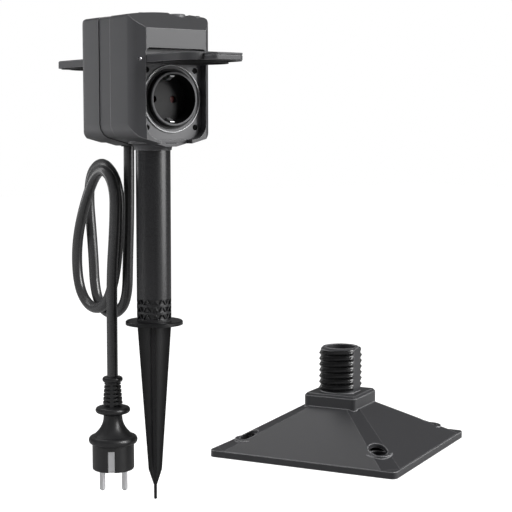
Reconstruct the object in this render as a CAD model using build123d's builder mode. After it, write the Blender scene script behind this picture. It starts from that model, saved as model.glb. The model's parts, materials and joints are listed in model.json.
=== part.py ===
from build123d import *
import math
import os

# Smart garden socket spike: a double outdoor socket housing on a pole with a ground spike,
# its looped mains lead, and the loose screw-down base that can take the place of the spike.
# Millimetres. +Z is up and the front socket faces -Y. The origin is on the axis of the pole,
# at the underside of the flange of the spike, which is the ground line.

# Clearances, and how far a cutting form reaches past what it trims
running_gap = 0.05
moving_gap = 0.3
loose_gap = 0.15
cut_margin = 12

# Ground spike
flange_diameter = 48
flange_thickness = 3.2
flange_rounding = 0.8
spike_top_width = 28.4
spike_low_width = 11.3
spike_end_width = 3
spike_taper_length = 124
spike_point_length = 12.8
spike_pin_diameter = 2.6
spike_pin_length = 12.9
fin_thickness = 2.6
fin_core = 5.2
fin_low_thickness = 2
fin_low_core = 2.3
fin_end_thickness = 1.4
fin_end_core = 0.9
fin_turn = -36

# Threaded stud, the same on the spike and on the loose base
stud_diameter = 22
stud_length = 23
stud_bore = 15.4
thread_depth = 1.5
stud_flats = 18.6
stud_chamfer = 1.2

# Pole
pole_diameter = 28.9
pole_length = 142.2
spigot_diameter = 26
spigot_length = 16.6
truss_rows = 3
truss_periods = 12
truss_row_height = 4.2
truss_row_pitch = 6.1
truss_first_row = 2.2
truss_strut = 1
truss_depth = 1.7
seal_ring_thickness = 0.8
cross_pin_diameter = 4
cross_pin_length = 29.5
cross_pin_level = 9.6

# Housing
housing_width = 75
housing_depth = 98
housing_side_height = 105
pole_to_middle = 12
wall = 2.6
corner_chamfer = 9.3
corner_radius = 13
lower_corner_radius = 13
top_corner_radius = 3
keel_half_width = 5
keel_rise = 8.6
roof_crown = 3
roof_facet_depth = 17
roof_facet_drop = 11
collar_height = 3.1
collar_diameter = 31
collar_flare = 5
collar_lip = 0.6
collar_inner_height = 14.5
band_depth = 0.8
band_width = 17.7
seam_from_middle = 11
seam_seal_thickness = 0.8
rail_width = 3
rail_depth = 5.6

# Socket recess, the same at the front and the rear
recess_half_width = 28.5
recess_depth = 8.6
recess_height = 73
recess_rise = 5.5
recess_lower_radius = 13.5
recess_upper_radius = 4
notch_half_width = 14.6
floor_thickness = 2.4
socket_height = 38.5
screw_half_pitch = 23
screw_hole = 5
post_diameter = 7
screw_head = 4.6
screw_head_height = 1.8
screw_shank = 3
front_screw_length = 14
rear_screw_length = 42

# Socket
plate_thickness = 2
cup_diameter = 45
well_diameter = 40
well_depth = 17.5
ring_height = 5.4
cup_floor = 3
cup_flange_diameter = 52
cup_flange_thickness = 2
bezel_diameter = 54.6
gasket_diameter = 48.4
bezel_width = 0.8
bezel_height = 1.5
bezel_chamfer = 0.4
gasket_height = 1.1
pin_pitch = 19
pin_hole = 6
shutter_diameter = 27
shutter_thickness = 1.6
shutter_turn = 40
shutter_hub = 3
cavity_wall_diameter = 34
clip_width = 4
clip_thickness = 0.8
clip_radius = 18.4
clip_reach = 2.9
clip_straight = 2
clip_bend = 7
clip_set_back = 4
clip_slot = 5
block_width = 36
block_height = 20
block_depth = 13.6
sleeve_diameter = 6.4
sleeve_bore = 4.9
sleeve_length = 13

# Lid
lid_side_gap = 0.4
lid_thickness = 6.3
lid_skin = 2.2
lid_edge = 0.8
lid_wall = 2
lid_barrel_wall = 1.2
lid_axis_height = 2.7
lid_length = 64
lid_corner_radius = 13.5
barrel_diameter = 6.6
hinge_in = 4
hinge_from_recess_top = 8.8
tab_length = 14
tab_half_width = 14
tab_drop = 1
tab_corner_radius = 4
tab_groove = 0.6
tab_groove_height = 0.8
tab_groove_level = 3.1
hinge_pin_diameter = 2.5
hinge_pin_length = 70.6
lid_seal_inner_diameter = 50.2
lid_seal_width = 0.95
lid_seal_reach = 5.6

# Roof fittings
button_x = 13
button_from_front = 21
button_diameter = 15.5
button_rim = 1.2
button_travel = 0.8
button_chamfer = 0.7
button_proud = 0.6
button_skirt = 3.4
button_stem = 4.4
scoop_diameter = 20
scoop_depth = 2.4
scoop_slope = 20
lens_x = -17
lens_from_front = 23
lens_length = 8
lens_width = 4
lens_thickness = 5.2
nub_x = 30
nub_from_front = 15
nub_diameter = 3.6
nub_root = 4
nub_height = 5.4
button_board_drop = 10.5
button_board_size = 20
button_post_half_pitch = 8.5
button_post_diameter = 3
button_seal_thickness = 0.6
button_seal_diameter = 12
board_thickness = 1.6
switch_size = 6
switch_height = 3.2

# Electronics
board_width = 66
board_height = 68
board_bottom = 22
relay_width = 15
relay_depth = 15
relay_height = 20
relay_x = 9
relay_level = 57
power_module_width = 18
power_module_x = -9
power_module_depth = 12
power_module_height = 26
radio_width = 14
radio_x = 10
radio_depth = 3
radio_height = 24
capacitor_diameter = 8
capacitor_length = 15
capacitor_x = 24
terminal_width = 20
terminal_depth = 8
terminal_height = 7

# Cord and its grommet
cord_diameter = 9.2
cord_from_rear = 22
grommet_diameter = 13
grommet_flange = 16
grommet_flange_thickness = 2.4
grommet_proud = 0.6
cord_gap = 0.1
bend_share = 0.45
drop_end = 7
loops_end = 16
clamp_diameter = 17
clamp_height = 6

# Plug
plug_x = -22
plug_y = 32.5
plug_top = -47
plug_turn = -36
plug_ring_diameter = 17
plug_ring_height = 4.6
relief_length = 20
relief_top_diameter = 12.6
relief_low_diameter = 16.8
relief_ribs = 6
relief_rib_height = 2
relief_rib_depth = 1.5
grip_diameter = 29.4
grip_height = 8.6
neck_diameter = 15.2
neck_length = 7.4
shoulder_length = 7.5
body_diameter = 41.6
body_height = 13.3
nose_diameter = 35.6
nose_length = 18.4
plug_pin_diameter = 4.8
plug_pin_length = 19
earth_slot_width = 6
earth_slot_depth = 3
earth_strip_thickness = 0.8
plug_rounding = 0.7
plug_pin_round = 1.2

# Loose mounting base
base_x = -151
base_y = -427
base_turn = -63
base_side = 100
base_corner_radius = 3
base_rim = 3.4
base_wall = 3
base_pyramid_height = 19.5
base_block_side = 28.6
base_block_height = 6.6
base_block_radius = 2.2
base_hip_chamfer = 7
base_block_chamfer = 5
base_block_rounding = 1.2
base_shoulder = 0.8
base_seat = 5
base_pitch_circle = 99
base_screw_hole = 5
base_access_hole = 9.4
base_rib = 2.4

# Worked-out levels and places
thread_middle = stud_diameter - thread_depth
collar_bottom = flange_thickness + pole_length
housing_bottom = collar_bottom + collar_height
side_top = housing_bottom + housing_side_height
roof_top = side_top + roof_crown
facet_bottom = side_top - roof_facet_drop
front_y = pole_to_middle - housing_depth / 2
rear_y = pole_to_middle + housing_depth / 2
half_width = housing_width / 2
seam_y = pole_to_middle + seam_from_middle
seal_y = seam_y - seam_seal_thickness
recess_bottom = housing_bottom + recess_rise
recess_top = recess_bottom + recess_height
socket_z = housing_bottom + socket_height
plate_y = front_y + recess_depth
floor_y = plate_y + plate_thickness
floor_back_y = floor_y + floor_thickness
mouth_y = plate_y - ring_height
well_floor_y = mouth_y + well_depth
cavity_y = well_floor_y + cup_floor
cavity_depth = shutter_thickness + 2 * moving_gap
block_y = cavity_y + cavity_depth
hinge_y = front_y + hinge_in
cord_y = rear_y - cord_from_rear
hinge_z = recess_top - hinge_from_recess_top
lid_under = hinge_z - lid_axis_height
lid_top = lid_under + lid_thickness
lid_half_width = recess_half_width - lid_side_gap
cup_radius = cup_diameter / 2
well_radius = well_diameter / 2
middle_plane = Plane.XZ.offset(-pole_to_middle)


def level_plane(z):
    return Plane.XY.offset(z)


def facing_plane(y):
    return Plane.XZ.offset(-y)


# Section of the housing seen from the front, with the raised keel line and the crowned roof
def housing_section(inset):
    with BuildSketch() as section:
        with BuildLine():
            Polyline(
                (half_width, side_top),
                (half_width, housing_bottom + keel_rise),
                (keel_half_width, housing_bottom),
                (-keel_half_width, housing_bottom),
                (-half_width, housing_bottom + keel_rise),
                (-half_width, side_top),
            )
            ThreePointArc((-half_width, side_top), (0, roof_top), (half_width, side_top))
        make_face()
        corners = section.vertices().group_by(Axis.Y)
        fillet(corners[1], radius=lower_corner_radius)
        fillet(section.vertices().group_by(Axis.Y)[-1], radius=top_corner_radius)
        if inset:
            offset(amount=-inset)
    return section.sketch


# Whole outer form of the housing, drawn in by an inset
def housing_form(inset):
    with BuildPart() as form:
        with BuildSketch(facing_plane(rear_y + cut_margin)):
            add(housing_section(inset))
        extrude(amount=housing_depth + 2 * cut_margin)
        with BuildSketch(level_plane(housing_bottom - cut_margin)) as plan:
            end_half = half_width - corner_chamfer
            arc_run = corner_radius * math.tan(math.radians(22.5))
            arc_side = arc_run * math.sin(math.radians(45))
            arc_start = (half_width - arc_side, front_y + corner_chamfer - arc_side)
            arc_end = (half_width, front_y + corner_chamfer + arc_run)
            with BuildLine():
                Polyline((0, front_y), (end_half, front_y), arc_start)
                TangentArc(arc_start, arc_end, tangent=(1, 1))
                Line(arc_end, (half_width, pole_to_middle))
                mirror(about=Plane.YZ)
                Line((half_width, pole_to_middle), (-half_width, pole_to_middle))
            half_plan = make_face()
            add(half_plan.mirror(middle_plane))
            if inset:
                offset(amount=-inset)
        extrude(amount=housing_side_height + 2 * cut_margin, mode=Mode.INTERSECT)
        # The two slanted roof facets, carried on past the form at both ends
        slope = (roof_top - facet_bottom) / roof_facet_depth
        with BuildSketch(Plane.YZ):
            with BuildLine():
                Polyline(
                    (front_y - cut_margin, housing_bottom - cut_margin),
                    (rear_y + cut_margin, housing_bottom - cut_margin),
                    (rear_y + cut_margin, facet_bottom - slope * cut_margin),
                    (rear_y - 2 * roof_facet_depth, facet_bottom + slope * 2 * roof_facet_depth),
                    (front_y + 2 * roof_facet_depth, facet_bottom + slope * 2 * roof_facet_depth),
                    (front_y - cut_margin, facet_bottom - slope * cut_margin),
                    close=True,
                )
            make_face()
            if inset:
                offset(amount=-inset)
        extrude(amount=housing_width, both=True, mode=Mode.INTERSECT)
    return form.part


# Outline of the recess and of what fits in it, with its raised rounded lower corners
def recess_outline(inset):
    with BuildSketch() as outline:
        half = recess_half_width - inset
        low = recess_bottom + inset
        high = recess_top - inset
        with BuildLine():
            Polyline((-half, low), (half, low), (half, high), (-half, high), close=True)
        make_face()
        fillet(outline.vertices().group_by(Axis.Y)[0], radius=recess_lower_radius - inset)
        fillet(outline.vertices().group_by(Axis.Y)[-1], radius=recess_upper_radius)
    return outline.sketch


# Cylinder along the axis of the front socket, from one depth to another
def socket_disc(radius, start_y, end_y, x=0):
    with BuildPart() as disc:
        with BuildSketch(facing_plane(end_y)):
            with Locations((x, socket_z)):
                Circle(radius)
        extrude(amount=end_y - start_y)
    return disc.part


# Cylinders at the four corners of the screw square
def screw_square(radius, start_y, end_y):
    with BuildPart() as square:
        with BuildSketch(facing_plane(end_y)):
            with Locations((0, socket_z)):
                with GridLocations(2 * screw_half_pitch, 2 * screw_half_pitch, 2, 2):
                    Circle(radius)
        extrude(amount=end_y - start_y)
    return square.part


# Stud with two flats and an open bore, standing on a level, plain at the middle of its thread
def threaded_stud(base_z):
    stud_top = base_z + stud_length
    points = [
        (stud_bore / 2, base_z),
        (thread_middle / 2, base_z),
        (thread_middle / 2, stud_top - stud_chamfer),
        (thread_middle / 2 - stud_chamfer, stud_top),
        (stud_bore / 2, stud_top),
    ]
    with BuildPart() as stud:
        with BuildSketch(Plane.XZ):
            with BuildLine():
                Polyline(*points, close=True)
            make_face()
        revolve(axis=Axis.Z)
        with BuildSketch(level_plane(base_z)):
            Rectangle(stud_flats, 2 * stud_diameter)
        extrude(amount=stud_length, mode=Mode.INTERSECT)
    return stud.part


# Four-finned section of the spike with hollow flanks between the fins
def fin_section(width, thickness, core):
    reach = width / 2
    edge = thickness / 2
    with BuildSketch(Plane.XY) as section:
        with BuildLine():
            for quarter in range(4):
                turned = Axis.Z
                edge_line = Line((reach, -edge), (reach, edge), mode=Mode.PRIVATE)
                flank = ThreePointArc(
                    (reach, edge), (core, core), (edge, reach), mode=Mode.PRIVATE
                )
                add(edge_line.rotate(turned, 90 * quarter))
                add(flank.rotate(turned, 90 * quarter))
        make_face()
    return section.sketch


def save(piece, name):
    piece.label = name
    export_step(piece, f"parts/{name}.step")


os.makedirs("parts", exist_ok=True)
pieces = {}

# Forms that the housing pieces share
outer_form = housing_form(0)
band_form = housing_form(band_depth)
inner_form = housing_form(wall)

# Material round the front recess: its box, its floor and the screw posts
with BuildPart() as recess_block:
    with BuildSketch(facing_plane(floor_back_y)):
        add(recess_outline(0))
        offset(amount=floor_thickness)
    extrude(amount=recess_depth + plate_thickness + floor_thickness - wall / 2)
    add(screw_square(post_diameter / 2, floor_back_y, seam_y))
    add(outer_form, mode=Mode.INTERSECT)

# What the front recess takes out: pocket, tab notch, socket bore, screw and hinge holes
with BuildPart() as recess_cut:
    with BuildSketch(facing_plane(floor_y)):
        add(recess_outline(0))
    extrude(amount=housing_depth / 2)
    with BuildSketch(facing_plane(plate_y)):
        with Locations((0, recess_bottom)):
            Rectangle(2 * notch_half_width, 2 * recess_rise + 2 * recess_lower_radius)
    extrude(amount=housing_depth / 2)
    add(socket_disc(cup_radius + loose_gap, floor_y, floor_back_y))
    add(screw_square(screw_shank / 2 + running_gap, floor_y, seam_y))
    with BuildSketch(Plane.YZ):
        with Locations((hinge_y, hinge_z)):
            Circle(hinge_pin_diameter / 2)
    extrude(amount=half_width, both=True)

# Floor of the button scoop and the four posts of the board under it
button_y = front_y + button_from_front
button_board_z = roof_top - button_board_drop
with BuildPart() as button_shelf:
    with BuildSketch(level_plane(roof_top - scoop_depth - wall)):
        with Locations((button_x, button_y)):
            Circle(scoop_diameter / 2 + wall / 2)
    extrude(amount=wall)
    with BuildSketch(level_plane(button_board_z)):
        with Locations((button_x, button_y)):
            post_pitch = 2 * button_post_half_pitch
            with GridLocations(post_pitch, post_pitch, 2, 2):
                Circle(button_post_diameter / 2)
    extrude(amount=button_board_drop - scoop_depth + running_gap)
    add(outer_form, mode=Mode.INTERSECT)

# Front housing with the recessed middle band and the collar of the pole
with BuildPart() as front_housing:
    add(outer_form)
    split(bisect_by=facing_plane(seal_y - band_width), keep=Keep.TOP)
    add(band_form)
    add(inner_form, mode=Mode.SUBTRACT)
    add(recess_block.part)
    split(bisect_by=facing_plane(seal_y), keep=Keep.TOP)
    with BuildSketch(Plane.XZ):
        with BuildLine():
            radius = collar_diameter / 2
            flare_radius = radius + collar_flare
            flare_low = collar_bottom + collar_lip
            flare_top = flare_low + collar_flare
            inner_top = housing_bottom + collar_inner_height
            arc_middle = collar_flare * math.sin(math.radians(45))
            Polyline(
                (0, inner_top), (0, collar_bottom), (radius, collar_bottom), (radius, flare_low)
            )
            ThreePointArc(
                (radius, flare_low),
                (flare_radius - arc_middle, flare_low + arc_middle),
                (flare_radius, flare_top),
            )
            Polyline(
                (flare_radius, flare_top),
                (flare_radius, flare_top + wall),
                (radius, flare_top + wall),
                (radius, inner_top),
                (0, inner_top),
            )
        make_face()
    revolve(axis=Axis.Z)
    with BuildSketch(level_plane(collar_bottom)):
        Circle(spigot_diameter / 2 + running_gap)
    extrude(amount=collar_height + collar_inner_height, mode=Mode.SUBTRACT)
    with BuildSketch(Plane.YZ):
        with Locations((0, collar_bottom + cross_pin_level)):
            Circle(cross_pin_diameter / 2 + running_gap)
    extrude(amount=cross_pin_length / 2 + running_gap, both=True, mode=Mode.SUBTRACT)
    # Rails for the control board on the two side walls
    rail_x = half_width - wall - rail_width / 2
    with BuildSketch(level_plane(housing_bottom + board_bottom - rail_width)):
        with Locations((-rail_x, pole_to_middle), (rail_x, pole_to_middle)):
            Rectangle(rail_width, rail_depth)
    extrude(amount=board_height + rail_width)
    with BuildSketch(level_plane(housing_bottom + board_bottom)):
        with Locations((0, pole_to_middle)):
            Rectangle(board_width + 2 * running_gap, board_thickness + 2 * running_gap)
    extrude(amount=board_height, mode=Mode.SUBTRACT)
    add(recess_cut.part, mode=Mode.SUBTRACT)
    # Scooped button recess, light window and small nub in the roof
    with BuildSketch(level_plane(roof_top - scoop_depth)):
        with Locations((button_x, button_y)):
            Circle(scoop_diameter / 2)
    extrude(amount=2 * scoop_depth, taper=-scoop_slope, mode=Mode.SUBTRACT)
    add(button_shelf.part)
    with BuildSketch(level_plane(roof_top - scoop_depth - wall)):
        with Locations((button_x, button_y)):
            Circle(button_diameter / 2 + moving_gap)
    extrude(amount=2 * wall, mode=Mode.SUBTRACT)
    lens_y = front_y + lens_from_front
    with BuildSketch(level_plane(roof_top - roof_crown - wall)):
        with Locations((lens_x, lens_y)):
            SlotOverall(lens_length, lens_width)
    extrude(amount=2 * roof_crown + wall, mode=Mode.SUBTRACT)
    with BuildSketch(level_plane(side_top - nub_root)):
        with Locations((nub_x, front_y + nub_from_front)):
            Circle(nub_diameter / 2)
    extrude(amount=nub_height)

# Rear housing with the hole of the cord
with BuildPart() as rear_housing:
    add(outer_form)
    add(inner_form, mode=Mode.SUBTRACT)
    add(mirror(recess_block.part, about=middle_plane, mode=Mode.PRIVATE))
    split(bisect_by=facing_plane(seam_y), keep=Keep.BOTTOM)
    add(mirror(recess_cut.part, about=middle_plane, mode=Mode.PRIVATE), mode=Mode.SUBTRACT)
    with BuildSketch(level_plane(housing_bottom)):
        with Locations((0, cord_y)):
            Circle(grommet_diameter / 2 + running_gap)
    extrude(amount=2 * wall, mode=Mode.SUBTRACT)
    with BuildSketch(level_plane(housing_bottom + wall)):
        with Locations((0, cord_y)):
            Circle(grommet_flange / 2 + running_gap)
    extrude(amount=grommet_flange_thickness, mode=Mode.SUBTRACT)

# Seal in the seam between the two shells
with BuildPart() as housing_seal:
    add(band_form)
    add(inner_form, mode=Mode.SUBTRACT)
    split(bisect_by=facing_plane(seal_y), keep=Keep.BOTTOM)
    split(bisect_by=facing_plane(seam_y), keep=Keep.TOP)

save(front_housing.part, "front_housing")
save(rear_housing.part, "rear_housing")
save(housing_seal.part, "housing_seal")

# Face plate of the socket with its four screw holes
with BuildPart() as socket_plate:
    with BuildSketch(facing_plane(floor_y)):
        add(recess_outline(loose_gap))
    extrude(amount=plate_thickness)
    add(socket_disc(cup_radius + loose_gap, plate_y, floor_y), mode=Mode.SUBTRACT)
    add(screw_square(screw_hole / 2, plate_y, floor_y), mode=Mode.SUBTRACT)
pieces["socket_plate"] = socket_plate.part

# Socket cup: round well, holding flange and the chamber of the shutter
with BuildPart() as socket_insert:
    add(socket_disc(cup_radius, mouth_y, cavity_y))
    chamfer(socket_insert.edges().group_by(Axis.Y)[0], length=1.2)
    add(socket_disc(well_radius, mouth_y, well_floor_y), mode=Mode.SUBTRACT)
    add(socket_disc(cup_flange_diameter / 2, floor_back_y, floor_back_y + cup_flange_thickness))
    add(socket_disc(well_radius, floor_y, well_floor_y), mode=Mode.SUBTRACT)
    add(socket_disc(cavity_wall_diameter / 2, cavity_y, block_y))
    add(socket_disc(shutter_diameter / 2 + moving_gap, cavity_y, block_y), mode=Mode.SUBTRACT)
    add(socket_disc(shutter_hub / 2, cavity_y, block_y))
    with BuildSketch(facing_plane(cavity_y)):
        with Locations((0, socket_z)):
            with GridLocations(pin_pitch, 1, 2, 1):
                Circle(pin_hole / 2)
            with GridLocations(1, 2 * clip_radius, 1, 2):
                Rectangle(clip_slot, clip_thickness)
    extrude(amount=cup_floor, mode=Mode.SUBTRACT)
pieces["socket_insert"] = socket_insert.part

# Thin bright ring round the cup
with BuildPart() as bezel_ring:
    add(socket_disc(bezel_diameter / 2, plate_y - bezel_height, plate_y))
    chamfer(bezel_ring.edges().group_by(Axis.Y)[0], length=bezel_chamfer)
    add(
        socket_disc(bezel_diameter / 2 - bezel_width, plate_y - bezel_height, plate_y ),
        mode=Mode.SUBTRACT,
    )
pieces["bezel_ring"] = bezel_ring.part

# Gasket in the groove between the bezel and the cup
with BuildPart() as ring_gasket:
    gasket_outer = gasket_diameter / 2
    add(socket_disc(gasket_outer, plate_y - gasket_height, plate_y))
    add(socket_disc(cup_radius + running_gap, plate_y - gasket_height, plate_y), mode=Mode.SUBTRACT)
pieces["ring_gasket"] = ring_gasket.part

# Two sprung earth clips, at the top and the bottom of the well
with BuildPart() as earth_clips:
    with BuildSketch(Plane.YZ) as clip_profile:
        with BuildLine():
            clip_line = Polyline(
                (cavity_y - running_gap, clip_radius),
                (well_floor_y - clip_straight, clip_radius),
                (well_floor_y - clip_bend, clip_radius - clip_reach),
                (mouth_y + clip_set_back, clip_radius),
            )
            offset(clip_line, amount=clip_thickness / 2, side=Side.BOTH)
        make_face()
    extrude(amount=clip_width / 2, both=True)
    mirror(about=Plane.XY)
pieces["earth_clips"] = earth_clips.part.moved(Location((0, 0, socket_z)))

# Block behind the cup that holds the contact sleeves
with BuildPart() as contact_block:
    with BuildSketch(facing_plane(block_y + block_depth)):
        with Locations((0, socket_z)):
            RectangleRounded(block_width, block_height, 2)
    extrude(amount=block_depth)
    for side in (-1, 1):
        sleeve_hole = sleeve_diameter / 2 + running_gap
        add(
            socket_disc(sleeve_hole, block_y, block_y + sleeve_length, x=side * pin_pitch / 2),
            mode=Mode.SUBTRACT,
        )
pieces["contact_block"] = contact_block.part

# Two brass contact sleeves
with BuildPart() as contact_sleeves:
    for side in (-1, 1):
        add(
            socket_disc(sleeve_diameter / 2, block_y + moving_gap, block_y + sleeve_length, x=side * pin_pitch / 2),
                    )
        add(
            socket_disc(sleeve_bore / 2, block_y + moving_gap, block_y + sleeve_length, x=side * pin_pitch / 2),
            mode=Mode.SUBTRACT,
        )
pieces["contact_sleeves"] = contact_sleeves.part

# Turning shutter that covers the pin holes at rest
with BuildPart() as shutter:
    shutter_y = cavity_y + moving_gap
    with BuildSketch(facing_plane(shutter_y + shutter_thickness)):
        with Locations((0, socket_z)):
            Circle(shutter_diameter / 2)
            Circle(shutter_hub / 2 + running_gap, mode=Mode.SUBTRACT)
            with PolarLocations(pin_pitch / 2, 2, start_angle=shutter_turn):
                Circle(pin_hole / 2, mode=Mode.SUBTRACT)
    extrude(amount=shutter_thickness)
pieces["shutter"] = shutter.part

# Hinge pin through the cheeks of the housing and the barrel of the lid
with BuildPart() as hinge_pin:
    with BuildSketch(Plane.YZ):
        with Locations((hinge_y, hinge_z)):
            Circle(hinge_pin_diameter / 2)
    extrude(amount=hinge_pin_length / 2, both=True)
    chamfer(hinge_pin.edges(), length=0.3)
pieces["hinge_pin"] = hinge_pin.part

# Flip-up lid: a tray with a barrel at the hinge and a thumb tab at the free end
with BuildPart() as lid:
    lid_end_y = hinge_y - lid_length
    with BuildSketch(level_plane(lid_under)) as lid_plan:
        with Locations((0, hinge_y - lid_length / 2)):
            Rectangle(2 * lid_half_width, lid_length)
        fillet(lid_plan.vertices().group_by(Axis.Y)[0], radius=lid_corner_radius)
    extrude(amount=lid_thickness)
    top_edges = lid.faces().sort_by(Axis.Z)[-1].edges().sort_by(Axis.Y)[:-1]
    chamfer(top_edges, length=lid_edge)
    with BuildSketch(level_plane(lid_under)) as tab_plan:
        with Locations((0, lid_end_y - tab_length / 2 + 1)):
            Rectangle(2 * tab_half_width, tab_length + 2)
        fillet(tab_plan.vertices().group_by(Axis.Y)[0], radius=tab_corner_radius)
    extrude(amount=lid_thickness - tab_drop)
    with BuildSketch(level_plane(lid_under + tab_groove_level)):
        with Locations((0, lid_end_y - tab_length / 2 + 1)):
            Rectangle(2 * tab_half_width + 2, tab_length + 2)
        with Locations((0, lid_end_y - tab_length / 2 + 1)):
            inner_width = 2 * (tab_half_width - tab_groove)
            RectangleRounded(
                inner_width, tab_length + 2 - 2 * tab_groove, tab_corner_radius - tab_groove,
                mode=Mode.SUBTRACT,
            )
        with Locations((0, lid_end_y + 1)):
            Rectangle(2 * lid_half_width, 2, mode=Mode.SUBTRACT)
    extrude(amount=tab_groove_height, mode=Mode.SUBTRACT)
    with BuildSketch(level_plane(lid_under)) as tray_plan:
        tray_length = lid_length - lid_wall - barrel_diameter / 2 - lid_barrel_wall
        with Locations((0, lid_end_y + lid_wall + tray_length / 2)):
            Rectangle(2 * (lid_half_width - lid_wall), tray_length)
        fillet(tray_plan.vertices().group_by(Axis.Y)[0], radius=lid_corner_radius - lid_wall)
        fillet(tray_plan.vertices().group_by(Axis.Y)[-1], radius=2)
    extrude(amount=lid_thickness - lid_skin, mode=Mode.SUBTRACT)
    with BuildSketch(Plane.YZ):
        with Locations((hinge_y, hinge_z)):
            Circle(barrel_diameter / 2)
    extrude(amount=lid_half_width, both=True)
    with BuildSketch(Plane.YZ):
        with Locations((hinge_y, hinge_z)):
            Circle(hinge_pin_diameter / 2 + running_gap)
    extrude(amount=lid_half_width, both=True, mode=Mode.SUBTRACT)
pieces["lid"] = lid.part

# Rubber ring inside the lid that closes round the bezel
with BuildPart() as lid_seal:
    ring_y = hinge_y - (hinge_z - socket_z)
    seal_inner = lid_seal_inner_diameter / 2
    with BuildSketch(level_plane(lid_top - lid_skin)):
        with Locations((0, ring_y)):
            Circle(seal_inner + lid_seal_width)
            Circle(seal_inner, mode=Mode.SUBTRACT)
    extrude(amount=-lid_seal_reach)
pieces["lid_seal"] = lid_seal.part

# The same socket pieces at the front and, mirrored, at the rear
for piece_name, piece in pieces.items():
    save(piece, f"front_{piece_name}")
    save(mirror(piece, about=middle_plane), f"rear_{piece_name}")

# Screws of the front plate, and the longer rear ones that also hold the shells together
with BuildPart() as front_plate_screws:
    add(screw_square(screw_head / 2, floor_y - screw_head_height, floor_y))
    add(screw_square(screw_shank / 2, floor_y, floor_y + front_screw_length))
save(front_plate_screws.part, "front_plate_screws")

with BuildPart() as case_screws:
    add(screw_square(screw_head / 2, floor_y - screw_head_height, floor_y))
    add(screw_square(screw_shank / 2, floor_y, floor_y + rear_screw_length))
save(mirror(case_screws.part, about=middle_plane), "rear_plate_screws")

# Power button with its skirt and stem
with BuildPart() as power_button:
    button_top = roof_top + button_proud - button_rim
    with BuildSketch(level_plane(button_top - button_skirt)):
        with Locations((button_x, button_y)):
            Circle(button_diameter / 2)
    extrude(amount=button_skirt)
    chamfer(power_button.edges().group_by(Axis.Z)[-1], length=button_chamfer)
    switch_top = button_board_z + switch_height
    with BuildSketch(level_plane(button_top - button_skirt)):
        with Locations((button_x, button_y)):
            Circle(button_stem / 2)
    extrude(amount=switch_top + moving_gap + button_travel - button_top + button_skirt)
save(power_button.part, "power_button")

# Flat rubber ring under the button
with BuildPart() as button_seal:
    seal_z = roof_top - scoop_depth - wall - button_seal_thickness
    with BuildSketch(level_plane(seal_z)):
        with Locations((button_x, button_y)):
            Circle(button_seal_diameter / 2)
            Circle(button_stem / 2 + moving_gap, mode=Mode.SUBTRACT)
    extrude(amount=button_seal_thickness)
save(button_seal.part, "button_seal")

# Small board under the roof with the push switch on it
with BuildPart() as button_board:
    with BuildSketch(level_plane(button_board_z - board_thickness)):
        with Locations((button_x, button_y)):
            Rectangle(button_board_size, button_board_size)
    extrude(amount=board_thickness)
save(button_board.part, "button_board")

with BuildPart() as push_switch:
    with BuildSketch(level_plane(button_board_z)):
        with Locations((button_x, button_y)):
            Rectangle(switch_size, switch_size)
    extrude(amount=switch_height)
save(push_switch.part, "push_switch")

# Light window of the roof
with BuildPart() as indicator_lens:
    with BuildSketch(level_plane(roof_top - roof_crown - wall)):
        with Locations((lens_x, lens_y)):
            SlotOverall(lens_length, lens_width)
    extrude(amount=lens_thickness)
save(indicator_lens.part, "indicator_lens")

# Control board in its rails, with room for the upper screw posts
board_z = housing_bottom + board_bottom
board_front = pole_to_middle - board_thickness / 2
board_rear = pole_to_middle + board_thickness / 2
with BuildPart() as control_board:
    with BuildSketch(level_plane(board_z)):
        with Locations((0, pole_to_middle)):
            Rectangle(board_width, board_thickness)
    extrude(amount=board_height)
    with BuildSketch(facing_plane(board_rear)):
        post_z = socket_z + screw_half_pitch
        with Locations((-screw_half_pitch, post_z), (screw_half_pitch, post_z)):
            Circle(post_diameter / 2 + loose_gap)
    extrude(amount=board_thickness, mode=Mode.SUBTRACT)
save(control_board.part, "control_board")


# Plain block standing on one side of the control board
def board_block(x, level, width, depth, height, front):
    start = board_front - depth if front else board_rear
    with BuildPart() as block:
        with BuildSketch(level_plane(level)):
            with Locations((x, start + depth / 2)):
                Rectangle(width, depth)
        extrude(amount=height)
    return block.part


relay_z = housing_bottom + relay_level
with BuildPart() as relays:
    for side in (-1, 1):
        add(board_block(side * relay_x, relay_z, relay_width, relay_depth, relay_height, True))
save(relays.part, "relays")

power_module = board_block(
    power_module_x, relay_z, power_module_width, power_module_depth, power_module_height, False
)
save(power_module, "power_module")
radio_module = board_block(radio_x, relay_z, radio_width, radio_depth, radio_height, False)
save(radio_module, "radio_module")
terminal_block = board_block(
    0, board_z, terminal_width, terminal_depth, terminal_height, False
)
save(terminal_block, "terminal_block")

with BuildPart() as capacitor:
    with BuildSketch(level_plane(board_z + terminal_height)):
        with Locations((capacitor_x, board_rear + capacitor_diameter / 2)):
            Circle(capacitor_diameter / 2)
    extrude(amount=capacitor_length)
save(capacitor.part, "capacitor")

# Grommet of the cord with its inner flange, and the clamp above it
grommet_z = housing_bottom - grommet_proud
flange_z = housing_bottom + wall
clamp_z = flange_z + grommet_flange_thickness
with BuildPart() as cord_grommet:
    with BuildSketch(level_plane(grommet_z)):
        with Locations((0, cord_y)):
            Circle(grommet_diameter / 2)
    extrude(amount=clamp_z - grommet_z)
    with BuildSketch(level_plane(flange_z)):
        with Locations((0, cord_y)):
            Circle(grommet_flange / 2)
    extrude(amount=grommet_flange_thickness)
    with BuildSketch(level_plane(grommet_z)):
        with Locations((0, cord_y)):
            Circle(cord_diameter / 2 + cord_gap)
    extrude(amount=clamp_z - grommet_z, mode=Mode.SUBTRACT)
save(cord_grommet.part, "cord_grommet")

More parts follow.
